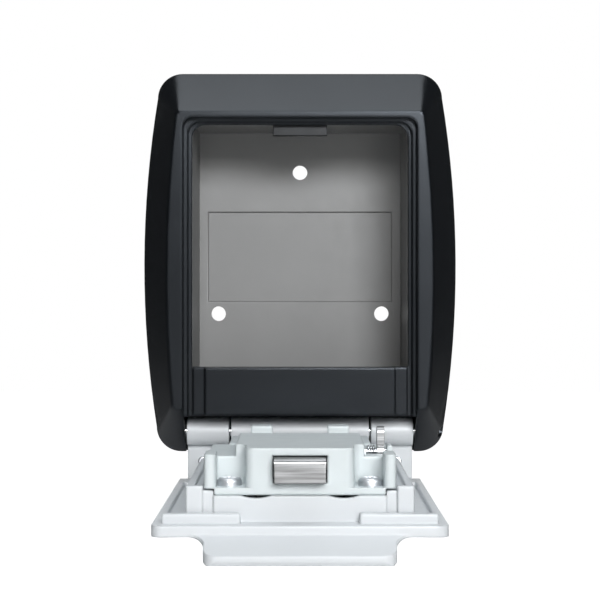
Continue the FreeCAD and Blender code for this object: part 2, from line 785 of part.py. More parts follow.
def door_cuts(made):
    """Bores, windows, slots and screw holes of the door shell."""
    rod(made, "pin_bore", "X", ("0 - wall_half_width - past", "hinge_y", "hinge_z"), "2 * wall_half_width + 2 * past",
        "pin_bore / 2 + run_gap", cut=True)
    for side in (-1, 1):
        tag = "left" if side < 0 else "right"
        notch_round = "(notch_wide * notch_wide / 4 + notch_drop * notch_drop) / (2 * notch_drop)"
        rod(made, f"notch_{tag}", "-Y", (f"{side} * notch_at", "hinge_y - tub_end + tub_wall + past",
                                         f"bed_z - notch_drop + {notch_round}"), "tub_wall + 2 * past", notch_round,
            cut=True)
        block(made, f"knuckle_gap_{tag}", [span(f"{side} * knuckle_slot_at", "knuckle_slot / 2"),
                                           span("hinge_y", "knuckle_bore / 2 + lap"),
                                           ("hinge_z - knuckle_bore / 2", "hinge_z + knuckle_bore")], cut=True)
        rod(made, f"cover_screw_hole_{tag}", "Z",
            (f"{side} * cover_screw_at", "hinge_y - cover_screw_reach", "inner_face + post_skin"), "through",
            "cover_screw_bore / 2", cut=True)
        rod(made, f"side_screw_hole_{tag}", "-Y",
            (f"{side} * side_screw_at", "hinge_y + wall_rear - screw_skin", "hinge_z - side_screw_drop"), "through",
            "side_screw_bore / 2", cut=True)
        rod(made, f"leaf_screw_hole_{tag}", "Z",
            (f"{side} * dial_pitch", "hinge_y - leaf_screw_at", "outer_face + past"), "flange_thick", "side_screw_bore / 2", cut=True)
    rod(made, "axle_seat", "X", ("0 - axle_half", "dial_y", "dial_z"), "2 * axle_half", "axle_radius", cut=True)
    block(made, "dial_dish", [span(0, "dish_half"), span("dial_y", "dish_length / 2"),
                              ("outer_face - past", "outer_face + dish_depth")], cut=True)
    for index in range(4):
        block(made, f"dial_window_{index + 1}", [span(dial_across(index), "dial_window / 2"),
                                                 span("dial_y", "window_length / 2"),
                                                 ("outer_face - past", "inner_face + past")], cut=True)
    block(made, "stem_slot", [span(0, "stem_half + stem_gap"),
                              reach("stem_start - latch_travel - stem_gap", "stem_end + stem_gap"),
                              ("outer_face - past", "inner_face + past")], cut=True)


def dial_across(index):
    return f"{index - 1.5} * dial_pitch"


# mechanism cover

def make_cover():
    made = body("mechanism_cover")
    low = "base_top - lap"
    pad(made, "cover_base", outline(made, "base_outline", "XY_Plane", "bed_z", "fit_gap - rail_inner",
                                    "rail_inner - fit_gap", "hinge_y - cover_end", "hinge_y - cover_start"),
        "cover_base")
    block(made, "dial_hump", [span(0, "front_half"), reach("cover_start", "front_end + past"),
                              (low, "hinge_z + front_rise")])
    block(made, "shoulders", [span(0, "rail_outer - seat_gap"), reach("front_end", "cover_end"),
                              (low, "hinge_z + shoulder_rise")])
    block(made, "plateau", [span(0, "plateau_half"), reach("front_end", "ledge_start"),
                            (low, "hinge_z + plateau_rise")])
    block(made, "latch_block", [span(0, "block_half"), reach("ledge_start - past", "cover_end"),
                                (low, "hinge_z + plateau_rise")])
    block(made, "lever_cheek", [("pocket_outer", "rail_outer - seat_gap"),
                                span("hinge_y - lever_reach", "lever_half + lever_cheek"),
                                (low, "hinge_z + lever_rise + lever_half")])
    for side in (-1, 1):
        tag = "left" if side < 0 else "right"
        block(made, f"column_{tag}", [span(f"{side} * (ledge_outer + rail_outer - seat_gap) / 2",
                                           "(rail_outer - seat_gap - ledge_outer) / 2"),
                                      reach("ledge_start", "cover_end"), (low, "hinge_z + column_rise")])
        block(made, f"lug_{tag}", [span(f"{side} * (lug_inner + lug_outer) / 2", "(lug_outer - lug_inner) / 2"),
                                   reach("lug_start", "lug_end"), (low, "hinge_z + lug_rise")])
    cover_cuts(made)
    return made


def cover_cuts(made):
    under = "bed_z - past"
    block(made, "dial_room", [span(0, "front_half - cover_skin"),
                              reach("cover_start + cover_skin", "front_end - cover_skin"),
                              (under, "dial_z + dial_radius + seat_gap")], cut=True)
    block(made, "latch_room", [span(0, "block_half - cover_skin"),
                               reach("front_end - cover_skin - lap / 2", "cover_end - cover_skin"),
                               (under, "hinge_z + latch_high + seat_gap")], cut=True)
    block(made, "spring_wall", [span(0, "block_half - cover_skin + lap / 2"),
                                reach("spring_back - cover_skin", "spring_back"),
                                ("latch_bottom - spring_wall_lap", "hinge_z + plateau_rise - spring_wall_lap")])
    block(made, "latch_window", [span(0, "latch_half + latch_gap"), reach("cover_end - cover_skin - past", "cover_end + past"),
                                 ("latch_bottom - latch_gap", "hinge_z + latch_high + latch_gap")], cut=True)
    for side in (-1, 1):
        tag = "left" if side < 0 else "right"
        block(made, f"screw_ledge_{tag}", [span(f"{side} * (block_half + ledge_outer) / 2",
                                                "(ledge_outer - block_half) / 2"),
                                           reach("ledge_start", "cover_end + past"), ("base_top", "hinge_z + through")],
              cut=True)
    front = "hinge_y - cover_end"
    round_uprights(made, "block_rounds", "block_round", "block_half", front)
    round_uprights(made, "block_hollows", "block_round", "block_half", "hinge_y - ledge_start")
    round_uprights(made, "column_inner_rounds", "column_round", "ledge_outer", front)
    round_uprights(made, "column_outer_rounds", "column_round", "rail_outer - seat_gap", front)
    for side in (-1, 1):
        tag = "left" if side < 0 else "right"
        rod(made, f"screw_bore_{tag}", "Z", (f"{side} * cover_screw_at", "hinge_y - cover_screw_reach", under), "through",
            "cover_screw_bore / 2", cut=True)
    block(made, "lever_pocket", [("pocket_inner", "pocket_outer"), span("hinge_y - lever_reach", "pocket_half"),
                                 ("hinge_z - pocket_floor", "hinge_z + through")], cut=True)
    rod(made, "lever_pin_seat", "X", ("lever_pin_start", "hinge_y - lever_reach", "hinge_z + lever_rise"),
        "lever_pin_length", "lever_pivot_bore / 2", cut=True)


# latch, lock plate and release

def make_latch_bolt():
    made = body("latch_bolt")
    block(made, "bolt_bar", [span(0, "latch_half"), reach("latch_tail", "latch_tip"),
                             ("latch_bottom", "hinge_z + latch_high")])
    tip = size("hinge_y - latch_tip")
    top = size("hinge_z + latch_high")
    round_edges(made, "bolt_nose", "latch_nose", lambda edge: near(edge, 1, tip) and near(edge, 2, top))
    return made


def make_lock_plate():
    made = body("lock_plate")
    rise = ("fence_bottom", "fence_bottom + fence_thick")
    block(made, "plate", [span(0, "fence_half"), reach("fence_start - past", "plate_end"), rise])
    block(made, "fence_bar", [("0 - fence_half", "2 * dial_pitch + fence_finger / 2"),
                              reach("fence_start - fence_finger", "fence_start"), rise])
    for index in range(4):
        block(made, f"fence_finger_{index + 1}", [span(f"{index - 1} * dial_pitch", "fence_finger / 2"),
                                                  reach("fence_tip", "fence_start - lap"), rise])
    block(made, "bolt_tab", [span(0, "bolt_tab_half"), reach("latch_tail + bolt_tab_in", "latch_tail + bolt_tab_in + bolt_tab_thick"),
                             ("fence_bottom", "latch_bottom")])
    block(made, "stem_window", [span(0, "stem_half + seat_gap"), reach("stem_start - seat_gap", "stem_end + seat_gap"),
                                ("fence_bottom - past", "fence_bottom + fence_thick + lap")], cut=True)
    return made


def make_release():
    made = body("release_slide")
    under = "outer_face - seat_gap"
    block(made, "thumb_pad", [span(0, "thumb_half"), reach("thumb_start", "thumb_end"),
                              (f"{under} - thumb_thick", under)])
    low = size(f"{under} - thumb_thick")
    round_edges(made, "thumb_corners", "thumb_thick / 2", lambda edge: runs(edge, 2))
    round_edges(made, "thumb_rim", "edge_break / 2", lambda edge: near(edge, 2, low))
    block(made, "stem", [span(0, "stem_half"), reach("stem_start", "stem_end"),
                         (f"{under} - lap", "fence_bottom + fence_thick + stem_over")])
    block(made, "stem_wings", [span(0, "stem_half + wing_reach"), reach("stem_start", "stem_end"),
                               ("inner_face + seat_gap", "inner_face + seat_gap + wing_thick")])
    for index in range(4):
        groove = f"thumb_start + thumb_margin + {index} * (thumb_end - thumb_start - 2 * thumb_margin) / 3"
        rod(made, f"thumb_groove_{index + 1}", "X", ("0 - thumb_half - past", f"hinge_y - ({groove})",
                                                     f"{under} - thumb_thick"), "2 * thumb_half + 2 * past",
            "thumb_groove / 2", cut=True)
    return made


def make_latch_spring():
    bore, wire = size("spring_bore"), size("spring_wire")
    start = FreeCAD.Vector(0, size("hinge_y - spring_back") - wire / 2,
                           size("hinge_z + (latch_high - latch_low) / 2"))
    length = size("latch_tail - spring_back") - wire
    made = coil(start, FreeCAD.Vector(0, -1, 0), bore, wire, length, size("spring_turns"))
    return solid("latch_spring", made)


# dials

def ring(name, across, radius, bore, wide):
    """A ring about an axle along X, seated at its own place in the door."""
    made = body(name)
    rod(made, f"{name}_rim", "X", (f"0 - ({wide}) / 2", "0", "0"), wide, radius)
    rod(made, f"{name}_bore", "X", (f"0 - ({wide})", "0", "0"), f"2 * ({wide})", bore, cut=True)
    return bind(made, place_x=across, place_y="dial_y", place_z="dial_z")


def make_dial(index):
    made = ring(f"dial_{index + 1}", dial_across(index), "dial_radius", "sleeve_radius", "dial_wide")
    groove = rod(made, f"dial_{index + 1}_groove", "X",
                 ("0 - dial_wide", "0 - (dial_radius + groove_radius / 3)", "0"), "2 * dial_wide",
                 "groove_radius", cut=True)
    pattern = made.newObject("PartDesign::PolarPattern", f"dial_{index + 1}_grooves")
    pattern.Originals = [groove]
    pattern.Axis = (plane(made, "X_Axis"), [""])
    pattern.Angle = 360
    pattern.Occurrences = 10
    made.Tip = pattern
    return made


def make_axle():
    axle = DOC.addObject("Part::Cylinder", "dial_axle")
    axle.Placement.Rotation = turn("X")
    bind(axle, Radius="axle_radius", Height="2 * axle_half",
         place_x="0 - axle_half", place_y="dial_y", place_z="dial_z")
    return label(axle, "dial_axle")


def make_detent_spring():
    made = body("detent_spring")
    floor = "inner_face"
    block(made, "leaf_base", [span(0, "1.5 * dial_pitch + leaf_finger"), reach("leaf_start", "leaf_end"),
                              (floor, "inner_face + leaf_thick")])
    nib_z = "inner_face + leaf_rise"
    nib_reach = "dial_at + dial_radius + seat_gap - nib_dip"
    for index in range(4):
        across = span(dial_across(index), "leaf_finger / 2")
        block(made, f"leaf_finger_{index + 1}", [across, reach("leaf_start", "leaf_start + leaf_thick"),
                                                 (floor, nib_z)])
        block(made, f"leaf_nib_{index + 1}", [across, reach(nib_reach, "leaf_start + lap"),
                                              (f"{nib_z} - leaf_thick", nib_z)])
    for side in (-1, 1):
        rod(made, f"leaf_hole_{side + 2}", "Z", (f"{side} * dial_pitch", "hinge_y - leaf_screw_at", "inner_face - past"),
            "leaf_thick + 2 * past", "side_screw_bore / 2", cut=True)
    return made


def make_leaf_screws():
    shapes = []
    for side in (-1, 1):
        foot = (f"{side} * dial_pitch", "hinge_y - leaf_screw_at", "outer_face + past")
        shank = cylinder("Z", foot, "flange_thick - past + leaf_thick + lap / 2", "side_screw_bore / 2")
        seat = (foot[0], foot[1], "inner_face + leaf_thick")
        head = cylinder("Z", seat, "side_screw_bore / 2", "side_screw_head / 2")
        shapes.append(shank.fuse(head))
    return solid("leaf_screws", Part.makeCompound(shapes))


# code-change lever

def make_lever():
    made = body("change_lever")
    left = "lever_at - lever_thick / 2"
    pivot = (left, "hinge_y - lever_reach", "hinge_z + lever_rise")
    rod(made, "lever_foot", "X", pivot, "lever_thick", "lever_half + lever_foot_rim")
    block(made, "lever_blade", [(left, "lever_at + lever_thick / 2"), span("hinge_y - lever_reach", "lever_half"),
                                ("hinge_z + lever_rise", "hinge_z + lever_top")])
    top = size("hinge_z + lever_top")
    round_edges(made, "lever_top_round", "lever_half * 0.85",
                lambda edge: runs(edge, 0) and near(edge, 2, top))
    rod(made, "lever_bore", "X", ("lever_at - lever_thick", pivot[1], pivot[2]), "2 * lever_thick",
        "lever_pivot_bore / 2 + run_gap", cut=True)
    return made


def make_lever_pin():
    pin = DOC.addObject("Part::Cylinder", "lever_pin")
    pin.Placement.Rotation = turn("X")
    bind(pin, Radius="lever_pivot_bore / 2", Height="lever_pin_length", place_x="lever_pin_start",
         place_y="hinge_y - lever_reach", place_z="hinge_z + lever_rise")
    return label(pin, "lever_pin")


def make_lever_spring():
    wire = size("lever_wire")
    first, last = size("pocket_inner") + wire / 2, size("lever_at - lever_thick / 2 - fit_gap") - wire / 2
    start = FreeCAD.Vector(first, size("hinge_y - lever_reach"), size("hinge_z + lever_rise"))
    made = coil(start, FreeCAD.Vector(1, 0, 0), size("lever_coil"), wire, last - first, size("lever_turns"))
    return solid("lever_spring", made)


# fasteners on the door

def make_cover_screws():
    shapes = []
    for side in (-1, 1):
        foot = (f"{side} * cover_screw_at", "hinge_y - cover_screw_reach", "inner_face + post_skin")
        shank = cylinder("Z", foot, "base_top - inner_face", "cover_screw_bore / 2")
        head = cylinder("Z", (foot[0], foot[1], "base_top"), "cover_screw_rise", "cover_screw_head / 2")
        head = head.makeFillet(size("cover_screw_rise / 2"), [head.Edges[0]])
        drive = box([span(foot[0], "cover_screw_head / 4"), span(foot[1], "drive_half"),
                     ("base_top + cover_screw_rise / 2", "base_top + 2 * cover_screw_rise")])
        cross = box([span(foot[0], "drive_half"), span(foot[1], "cover_screw_head / 4"),
                     ("base_top + cover_screw_rise / 2", "base_top + 2 * cover_screw_rise")])
        shapes.append(shank.fuse(head).cut(drive).cut(cross))
    return solid("cover_screws", Part.makeCompound(shapes))


def make_side_screws():
    shapes = []
    for side in (-1, 1):
        root = (f"{side} * side_screw_at", "hinge_y + wall_rear - screw_skin", "hinge_z - side_screw_drop")
        shank = cylinder("-Y", root, "wall_thick - screw_skin + lap / 2", "side_screw_bore / 2")
        seat = (root[0], "hinge_y + wall_rear - wall_thick", root[2])
        head = cylinder("-Y", seat, "side_screw_head / 3", "side_screw_head / 2")
        head = head.makeFillet(size("side_screw_head / 6"), [head.Edges[0]])
        shapes.append(shank.fuse(head))
    return solid("side_screws", Part.makeCompound(shapes))


def make_shutter():
    made = body("shutter")
    low = "shutter_top - shutter_thick"
    block(made, "shutter_plate", [span(0, "shutter_half"), reach("shutter_start", "shutter_end"),
                                  (low, "shutter_top")])
    round_edges(made, "shutter_corners", "shutter_thick", lambda edge: runs(edge, 2))
    for index in range(3):
        at = f"shutter_end - grip_edge - {index} * grip_pitch"
        block(made, f"grip_{index + 1}", [span(0, "thumb_half"), span(f"hinge_y - ({at})", "grip_half"),
                                          (f"{low} - grip_rise", f"{low} + lap")])
    return made


# the whole object

def build():
    fill_sheet()
    pieces = [
        make_jacket(), make_inner_case(), make_jacket_screws(), make_sill_panel(), make_strike(), make_hinge_pin(),
        make_door_shell(), make_cover(), make_latch_bolt(), make_lock_plate(), make_release(), make_latch_spring(),
        make_axle(), make_detent_spring(), make_leaf_screws(), make_lever(), make_lever_pin(), make_lever_spring(),
        make_cover_screws(), make_side_screws(), make_shutter(),
    ]
    for index in range(4):
        pieces.append(make_dial(index))
        pieces.append(ring(f"code_sleeve_{index + 1}", dial_across(index), "sleeve_radius",
                           "axle_radius + run_gap", "dial_wide + 2 * sleeve_lip"))
    DOC.recompute()
    return pieces


def faults(pieces):
    """Names of failed objects, and of pieces whose shape is missing, invalid or holds no solid."""
    found = [item.Name for item in DOC.Objects if {"Invalid", "Error"} & set(item.State)]
    for piece in pieces:
        shape = piece.Shape
        if shape.isNull() or not shape.isValid() or not shape.Solids:
            found.append(piece.Label)
    return found


def export(pieces):
    os.makedirs("parts", exist_ok=True)
    for piece in pieces:
        piece.Shape.exportStep(f"parts/{piece.Label}.step")
        print(f"{piece.Label}: {len(piece.Shape.Solids)} solid, {piece.Shape.Volume:.1f} mm3")


PIECES = build()
FAILED = faults(PIECES)
if FAILED:
    raise SystemExit(f"not written, these failed: {', '.join(FAILED)}")
export(PIECES)
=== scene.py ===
"""Looks of a wall key safe whose combination door is folded down. Metres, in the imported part's own frame."""

import json
import math

import bmesh
import bpy
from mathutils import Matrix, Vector


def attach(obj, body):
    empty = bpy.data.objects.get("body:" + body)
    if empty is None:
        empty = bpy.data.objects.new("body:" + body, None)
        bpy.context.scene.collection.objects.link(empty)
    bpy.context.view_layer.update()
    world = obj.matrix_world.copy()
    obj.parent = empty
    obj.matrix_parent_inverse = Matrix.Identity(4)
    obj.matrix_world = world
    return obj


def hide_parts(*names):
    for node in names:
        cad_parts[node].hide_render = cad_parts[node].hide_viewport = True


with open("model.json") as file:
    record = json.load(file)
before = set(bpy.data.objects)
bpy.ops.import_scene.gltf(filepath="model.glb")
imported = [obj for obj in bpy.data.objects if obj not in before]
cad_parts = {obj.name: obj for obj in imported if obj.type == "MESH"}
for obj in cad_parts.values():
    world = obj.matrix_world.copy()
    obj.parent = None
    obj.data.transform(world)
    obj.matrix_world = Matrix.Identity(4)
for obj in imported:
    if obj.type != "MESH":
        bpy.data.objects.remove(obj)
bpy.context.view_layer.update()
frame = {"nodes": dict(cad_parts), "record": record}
NODES = frame["nodes"]
BODY_OF = {node: body for body, nodes in frame["record"]["behaviour"]["bodies"].items() for node in nodes}
MM = 0.001

# camera: the lens and horizon are measured in the photograph's pixels, the place is worked out in metres
LENS_PIXELS = 1603.0
FRAME_PIXELS = 600.0
HORIZON_PIXEL = 282.0
CAMERA_AT = (0.0, -0.548, -0.0073)
SENSOR_MM = 36.0


def shot():
    """The photograph's view: level, straight at the wall, the frame shifted a little down."""
    data = bpy.data.cameras.new("camera")
    data.sensor_width = SENSOR_MM
    data.lens = LENS_PIXELS / FRAME_PIXELS * SENSOR_MM
    data.shift_y = -(FRAME_PIXELS / 2 - HORIZON_PIXEL) / FRAME_PIXELS
    camera = bpy.data.objects.new("camera", data)
    camera.location = CAMERA_AT
    camera.rotation_euler = (math.radians(90), 0, 0)
    bpy.context.scene.collection.objects.link(camera)
    bpy.context.scene.camera = camera


# node trees

class Tree:
    """Short calls for building a material's nodes."""

    def __init__(self, name):
        self.material = bpy.data.materials.new(name)
        self.material.use_nodes = True
        self.nodes = self.material.node_tree.nodes
        self.links = self.material.node_tree.links
        self.shader = self.nodes["Principled BSDF"]
        self.place = self.add("ShaderNodeTexCoord").outputs["Object"]

    def add(self, kind, **settings):
        node = self.nodes.new(kind)
        for name, value in settings.items():
            setattr(node, name, value)
        return node

    def noise(self, scale, detail=4.0, rough=0.5, stretch=(1, 1, 1)):
        mapping = self.add("ShaderNodeMapping")
        mapping.inputs["Scale"].default_value = stretch
        self.links.new(self.place, mapping.inputs["Vector"])
        node = self.add("ShaderNodeTexNoise")
        node.inputs["Scale"].default_value = scale
        node.inputs["Detail"].default_value = detail
        node.inputs["Roughness"].default_value = rough
        self.links.new(mapping.outputs["Vector"], node.inputs["Vector"])
        return node.outputs["Fac"]

    def ramp(self, source, low, high, start=0.3, end=0.7):
        node = self.add("ShaderNodeMapRange")
        node.inputs["From Min"].default_value = start
        node.inputs["From Max"].default_value = end
        node.inputs["To Min"].default_value = low
        node.inputs["To Max"].default_value = high
        self.links.new(source, node.inputs["Value"])
        return node.outputs["Result"]

    def colours(self, source, low, high, start=0.3, end=0.7):
        node = self.add("ShaderNodeValToRGB")
        node.color_ramp.elements[0].position = start
        node.color_ramp.elements[0].color = (*low, 1)
        node.color_ramp.elements[1].position = end
        node.color_ramp.elements[1].color = (*high, 1)
        self.links.new(source, node.inputs["Fac"])
        return node.outputs["Color"]

    def bump(self, *layers, soft=0.0):
        """Bumps on top of each other, each a (height, millimetres) pair. soft rounds the shading at edges."""
        normal = None
        if soft:
            rounded = self.add("ShaderNodeBevel", samples=6)
            rounded.inputs["Radius"].default_value = soft * MM
            normal = rounded.outputs["Normal"]
        for height, distance in layers:
            node = self.add("ShaderNodeBump")
            node.inputs["Distance"].default_value = distance * MM
            self.links.new(height, node.inputs["Height"])
            if normal:
                self.links.new(normal, node.inputs["Normal"])
            normal = node.outputs["Normal"]
        self.links.new(normal, self.shader.inputs["Normal"])

    def feed(self, name, source):
        if isinstance(source, (int, float)):
            self.shader.inputs[name].default_value = source
        elif isinstance(source, tuple):
            self.shader.inputs[name].default_value = (*source, 1)
        else:
            self.links.new(source, self.shader.inputs[name])


def moulding(name, dark, light, rough, soft=0.5):
    """Satin moulded plastic: fine spark grain, slow tone change and a bluish sheen."""
    tree = Tree(name)
    slow = tree.noise(22, 3)
    tree.feed("Base Color", tree.colours(slow, dark, light))
    tree.feed("Roughness", tree.ramp(tree.noise(60, 2), rough - 0.012, rough + 0.012, 0.2, 0.8))
    tree.feed("Specular IOR Level", 0.32)
    tree.feed("Specular Tint", (0.84, 0.91, 1.0))
    tree.bump((tree.noise(2600, 2, 0.6), 0.006), (tree.noise(900, 2), 0.006), soft=soft)
    return tree.material


def casting(name, dark, light, rough=0.42, soft=0.8):
    """Powder-coated casting: faint orange peel and slow tone change."""
    tree = Tree(name)
    slow = tree.noise(35, 4)
    tree.feed("Base Color", tree.colours(slow, dark, light))
    tree.feed("Roughness", tree.ramp(tree.noise(220, 3), rough - 0.05, rough + 0.07))
    tree.feed("Specular IOR Level", 0.45)
    tree.bump((tree.noise(1500, 3, 0.55), 0.010), (tree.noise(420, 2), 0.014), soft=soft)
    return tree.material


def steel(name, colour, rough, brush=(1, 1, 1), scale=500.0, depth=0.01, soft=0.25, dark=0.8):
    """Bright or brushed steel. brush stretches the grain along an axis, dark is the shade in its troughs."""
    tree = Tree(name)
    grain = tree.noise(scale, 4, 0.6, brush)
    shade = tuple(c * dark for c in colour)
    tree.feed("Base Color", tree.colours(grain, shade, colour))
    tree.feed("Metallic", 1.0)
    tree.feed("Roughness", tree.ramp(grain, rough - 0.06, rough + 0.08))
    tree.bump((grain, depth), soft=soft)
    return tree.material


def coated_steel(name, dark, light, rough):
    """Grey coated sheet or cast metal of the case's inside."""
    tree = Tree(name)
    slow = tree.noise(30, 4)
    tree.feed("Base Color", tree.colours(slow, dark, light))
    tree.feed("Metallic", 0.12)
    tree.feed("Specular IOR Level", 0.2)
    tree.feed("Roughness", tree.ramp(tree.noise(300, 3), rough - 0.03, rough + 0.04))
    tree.bump((tree.noise(1400, 3, 0.6), 0.015))
    return tree.material


JACKET_DARK = (0.0034, 0.0040, 0.0050)
JACKET_LIGHT = (0.0040, 0.0047, 0.0058)
LATCH_GREY = (0.38, 0.38, 0.38)
LATCH_BRUSH = (0.03, 1, 1)


def make_materials():
    """A material for each slot of the record, and plated_steel, cover_casting and digit_paint besides."""
    return {
        "black_moulding": moulding("black_moulding", JACKET_DARK, JACKET_LIGHT, 0.25, 1.1),
        "case_metal": coated_steel("case_metal", (0.20, 0.20, 0.198), (0.222, 0.222, 0.22), 0.5),
        "dark_screw": steel("dark_screw", (0.10, 0.10, 0.11), 0.4),
        "dark_steel": coated_steel("dark_steel", (0.012, 0.013, 0.014), (0.018, 0.019, 0.021), 0.5),
        "bright_steel": steel("bright_steel", (0.82, 0.83, 0.84), 0.16, scale=900.0, depth=0.004),
        "plated_steel": steel("plated_steel", (0.62, 0.63, 0.65), 0.42, scale=700.0, depth=0.004, dark=0.9),
        "brushed_steel": steel("brushed_steel", LATCH_GREY, 0.34, LATCH_BRUSH, 1300.0, 0.03, dark=0.4),
        "grey_casting": casting("grey_casting", (0.60, 0.625, 0.645), (0.64, 0.665, 0.685)),
        "cover_casting": casting("cover_casting", (0.59, 0.64, 0.65), (0.63, 0.68, 0.69), 0.38),
        "zinc_plate": steel("zinc_plate", (0.6, 0.61, 0.62), 0.35),
        "black_plastic": moulding("black_plastic", (0.014, 0.015, 0.016), (0.020, 0.021, 0.022), 0.42),
        "dial_metal": moulding("dial_metal", (0.016, 0.016, 0.017), (0.024, 0.024, 0.025), 0.3),
        "digit_paint": moulding("digit_paint", (0.72, 0.72, 0.70), (0.80, 0.80, 0.78), 0.5),
        "sleeve_brass": steel("sleeve_brass", (0.72, 0.53, 0.25), 0.28),
    }


# pieces

# corners closer than this many millimetres are joined, and faces within this angle become one
DOUBLES = 0.0008
FLAT_DEGREES = 1.0
# outer edges sharper than this are rounded, and edges flatter than this are shaded smooth
SHARP_DEGREES = 35
SMOOTH_DEGREES = 24
# a face whose normal has more than this along Y looks at the wall
FACES_THE_WALL = 0.7
ROUND_STEPS = 4


def cleaned(node):
    """A copy of a node's mesh as whole faces: doubles joined, flat triangles dissolved."""
    mesh = bmesh.new()
    mesh.from_mesh(NODES[node].data)
    mesh.transform(NODES[node].matrix_world)
    bmesh.ops.remove_doubles(mesh, verts=mesh.verts, dist=DOUBLES * MM)
    bmesh.ops.dissolve_limit(mesh, angle_limit=math.radians(FLAT_DEGREES), verts=mesh.verts, edges=mesh.edges)
    bmesh.ops.recalc_face_normals(mesh, faces=mesh.faces)
    return mesh


def piece(name, mesh, material, body):
    """Makes a smooth shaded object of a bmesh. It rides on the body and has the given material."""
    data = bpy.data.meshes.new(name)
    mesh.to_mesh(data)
    mesh.free()
    made = bpy.data.objects.new(name, data)
    bpy.context.scene.collection.objects.link(made)
    data.materials.append(material)
    data.shade_smooth()
    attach(made, body)
    return made


def bends_out(edge):
    """True where two faces meet at a sharp outer edge."""
    sharp = math.radians(SHARP_DEGREES)
    return len(edge.link_faces) == 2 and edge.is_convex and edge.calc_face_angle(0) > sharp


def turned_away(edge):
    """True where one of the edge's faces looks at the wall: its rounding shows as a dark line."""
    return any(face.normal.y > FACES_THE_WALL for face in edge.link_faces)


def rounded_edges(mesh, width, shortest):
    """Rounds the long, sharp outer edges by width, both in millimetres."""
    picked = [edge for edge in mesh.edges
              if bends_out(edge) and not turned_away(edge) and edge.calc_length() > shortest * MM]
    bmesh.ops.bevel(mesh, geom=picked, affect="EDGES", offset=width * MM, offset_type="OFFSET",
                    segments=ROUND_STEPS, profile=0.5, clamp_overlap=False, loop_slide=True)


def softened(node, material, slot, width, shortest):
    """The node with its long outer edges rounded. It stands for the node."""
    mesh = cleaned(node)
    if width:
        rounded_edges(mesh, width, shortest)
    made = piece(f"{node}_finish", mesh, material, BODY_OF[node])
    smooth_by_angle(made.data)
    weights = made.modifiers.new("weights", "WEIGHTED_NORMAL")
    weights.keep_sharp = True
    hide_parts(node)


def smooth_by_angle(data):
    """Marks edges that meet at more than the angle as sharp, so that flat faces stay flat."""
    mesh = bmesh.new()
    mesh.from_mesh(data)
    for edge in mesh.edges:
        edge.smooth = len(edge.link_faces) == 2 and edge.calc_face_angle(0) < math.radians(SMOOTH_DEGREES)
    mesh.to_mesh(data)
    mesh.free()


# for each node, how far its edges are rounded and the shortest edge that is rounded, in millimetres
SOFTENING = {
    "jacket": (0.0, 0.0),
    "inner_case": (0.5, 6.0),
    "sill_panel": (0.4, 6.0),
    "strike_plate": (0.4, 2.0),
    "door_shell": (0.5, 2.2),
    "mechanism_cover": (0.5, 2.2),
    "latch_bolt": (0.4, 3.0),
    "lock_plate": (0.15, 2.0),
    "release_slide": (0.3, 3.0),
    "change_lever": (0.25, 1.8),
    "shutter": (0.3, 5.0),
}
# nodes whose material isn't their slot's
MATERIAL_OF = {
    "mechanism_cover": "cover_casting",
    "cover_screws": "plated_steel",
    "side_screws": "plated_steel",
    "change_lever": "brushed_steel",
}


def dress(materials):
    """Gives each node its material, and the nodes in SOFTENING their rounded edges."""
    slots = {part["node"]: part["material_slot"] for part in frame["record"]["subparts"]}
    for node, thing in NODES.items():
        material = materials[MATERIAL_OF.get(node, slots[node])]
        if node in SOFTENING:
            softened(node, material, slots[node], *SOFTENING[node])
            continue
        thing.data.materials.clear()
        thing.data.materials.append(material)


# numbers on the dials

DIALS = 4
DIGITS = 10
# millimetres; PAINT is half a digit's thickness, SLICE the height of the strips that it is bent by
DIGIT_SIZE = 3.4
DIAL_RADIUS = 8.2
PAINT = 0.005
SLICE = 0.35


def flat_digit(text):
    """One digit as a thin plate about the origin, sliced across so that it can be bent."""
    letter = bpy.data.curves.new("digit", "FONT")
    letter.body = text
    letter.size = DIGIT_SIZE * MM
    letter.extrude = PAINT * MM
    letter.align_x = "CENTER"
    letter.align_y = "CENTER"
    holder = bpy.data.objects.new("digit", letter)
    bpy.context.scene.collection.objects.link(holder)
    bpy.context.view_layer.update()
    flat = bpy.data.meshes.new_from_object(holder)
    mesh = bmesh.new()
    mesh.from_mesh(flat)
    bpy.data.objects.remove(holder)
    low = min(vert.co.y for vert in mesh.verts)
    high = max(vert.co.y for vert in mesh.verts)
    for vert in mesh.verts:
        vert.co.y -= (low + high) / 2
    steps = int(DIGIT_SIZE / SLICE)
    for step in range(-steps, steps + 1):
        everything = mesh.verts[:] + mesh.edges[:] + mesh.faces[:]
        cut_at = (0, step * SLICE * MM, 0)
        bmesh.ops.bisect_plane(mesh, geom=everything, plane_co=cut_at, plane_no=(0, 1, 0))
    return mesh


def corner_of(node, pick):
    """The lowest or highest corner of a node's mesh."""
    thing = NODES[node]
    points = [thing.matrix_world @ vert.co for vert in thing.data.vertices]
    return Vector([pick(point[axis] for point in points) for axis in range(3)])


def dial_digits(index, paint):
    """The ten digits round a dial, upright when the door is shut."""
    node = f"dial_{index}"
    low = corner_of(node, min)
    high = corner_of(node, max)
    centre = (low + high) / 2
    joined = bmesh.new()
    for count in range(DIGITS):
        digit = flat_digit(str(count))
        for vert in digit.verts:
            reach = DIAL_RADIUS * MM + PAINT * MM + vert.co.z
            turn = vert.co.y / reach + math.tau * count / DIGITS
            vert.co = centre + Vector((vert.co.x, -math.sin(turn) * reach, -math.cos(turn) * reach))
        data = bpy.data.meshes.new("digit")
        digit.to_mesh(data)
        digit.free()
        joined.from_mesh(data)
    made = piece(f"{node}_numbers", joined, paint, BODY_OF[node])
    smooth_by_angle(made.data)


# lights and stage

